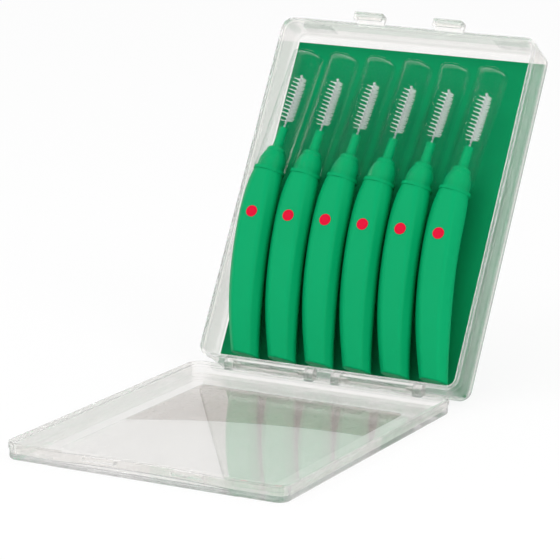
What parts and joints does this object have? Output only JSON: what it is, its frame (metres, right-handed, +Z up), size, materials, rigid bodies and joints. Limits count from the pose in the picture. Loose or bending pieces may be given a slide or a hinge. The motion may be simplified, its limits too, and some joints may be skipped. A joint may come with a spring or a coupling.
{
  "type": "interdental brush set",
  "caption": "Clear hinged travel case standing open, with capped interdental brushes lying side by side in its deep half; the case folds shut and each brush lifts out.",
  "frame": {"origin": "middle of the lid's flat underside", "axes": "+X across the case, +Y from the lid's front towards the hinge, +Z up from the table"},
  "size_m": [0.08, 0.1682, 0.1009],
  "materials": {
    "clear_case": "clear gloss",
    "clear_cap": "clear gloss",
    "card": "printed matt",
    "label": "clear film",
    "seal": "clear film",
    "handle": "satin",
    "wire": "coated",
    "bristle": "filaments",
    "size_dot": "satin"
  },
  "bodies": {
    "lid": {"case_lid": "clear_case", "lid_label": "label", "lid_seal_left": "seal", "lid_seal_right": "seal"},
    "tray": {"case_tray": "clear_case", "backing_card": "card", "tray_seal_left": "seal", "tray_seal_right": "seal"},
    "brush_1": {"handle_1": "handle", "wire_1": "wire", "bristles_1": "bristle", "size_dot_1": "size_dot"},
    "cap_1": {"cap_1": "clear_cap"},
    "brush_2": {"handle_2": "handle", "wire_2": "wire", "bristles_2": "bristle", "size_dot_2": "size_dot"},
    "cap_2": {"cap_2": "clear_cap"},
    "brush_3": {"handle_3": "handle", "wire_3": "wire", "bristles_3": "bristle", "size_dot_3": "size_dot"},
    "cap_3": {"cap_3": "clear_cap"},
    "brush_4": {"handle_4": "handle", "wire_4": "wire", "bristles_4": "bristle", "size_dot_4": "size_dot"},
    "cap_4": {"cap_4": "clear_cap"},
    "brush_5": {"handle_5": "handle", "wire_5": "wire", "bristles_5": "bristle", "size_dot_5": "size_dot"},
    "cap_5": {"cap_5": "clear_cap"},
    "brush_6": {"handle_6": "handle", "wire_6": "wire", "bristles_6": "bristle", "size_dot_6": "size_dot"},
    "cap_6": {"cap_6": "clear_cap"}
  },
  "joints": [
    {"name": "case_hinge", "type": "hinge", "parent": "lid", "child": "tray", "pos_m": [0, 0.0537, 0.00455], "axis": [-1, 0, 0], "range_deg": [-118.9, 0]},
    {"name": "brush_1_lift", "type": "slide", "parent": "tray", "child": "brush_1", "axis": [0, -0.8755, 0.4833], "range_m": [0, 0.018]},
    {"name": "cap_1_pull", "type": "slide", "parent": "brush_1", "child": "cap_1", "axis": [0.0872, 0.4814, 0.8721], "range_m": [0, 0.005]},
    {"name": "brush_2_lift", "type": "slide", "parent": "tray", "child": "brush_2", "axis": [0, -0.8755, 0.4833], "range_m": [0, 0.018]},
    {"name": "cap_2_pull", "type": "slide", "parent": "brush_2", "child": "cap_2", "axis": [0.0872, 0.4814, 0.8721], "range_m": [0, 0.005]},
    {"name": "brush_3_lift", "type": "slide", "parent": "tray", "child": "brush_3", "axis": [0, -0.8755, 0.4833], "range_m": [0, 0.018]},
    {"name": "cap_3_pull", "type": "slide", "parent": "brush_3", "child": "cap_3", "axis": [0.0872, 0.4814, 0.8721], "range_m": [0, 0.005]},
    {"name": "brush_4_lift", "type": "slide", "parent": "tray", "child": "brush_4", "axis": [0, -0.8755, 0.4833], "range_m": [0, 0.018]},
    {"name": "cap_4_pull", "type": "slide", "parent": "brush_4", "child": "cap_4", "axis": [0.0872, 0.4814, 0.8721], "range_m": [0, 0.005]},
    {"name": "brush_5_lift", "type": "slide", "parent": "tray", "child": "brush_5", "axis": [0, -0.8755, 0.4833], "range_m": [0, 0.018]},
    {"name": "cap_5_pull", "type": "slide", "parent": "brush_5", "child": "cap_5", "axis": [0.0872, 0.4814, 0.8721], "range_m": [0, 0.005]},
    {"name": "brush_6_lift", "type": "slide", "parent": "tray", "child": "brush_6", "axis": [0, -0.8755, 0.4833], "range_m": [0, 0.018]},
    {"name": "cap_6_pull", "type": "slide", "parent": "brush_6", "child": "cap_6", "axis": [0.0872, 0.4814, 0.8721], "range_m": [0, 0.005]}
  ]
}
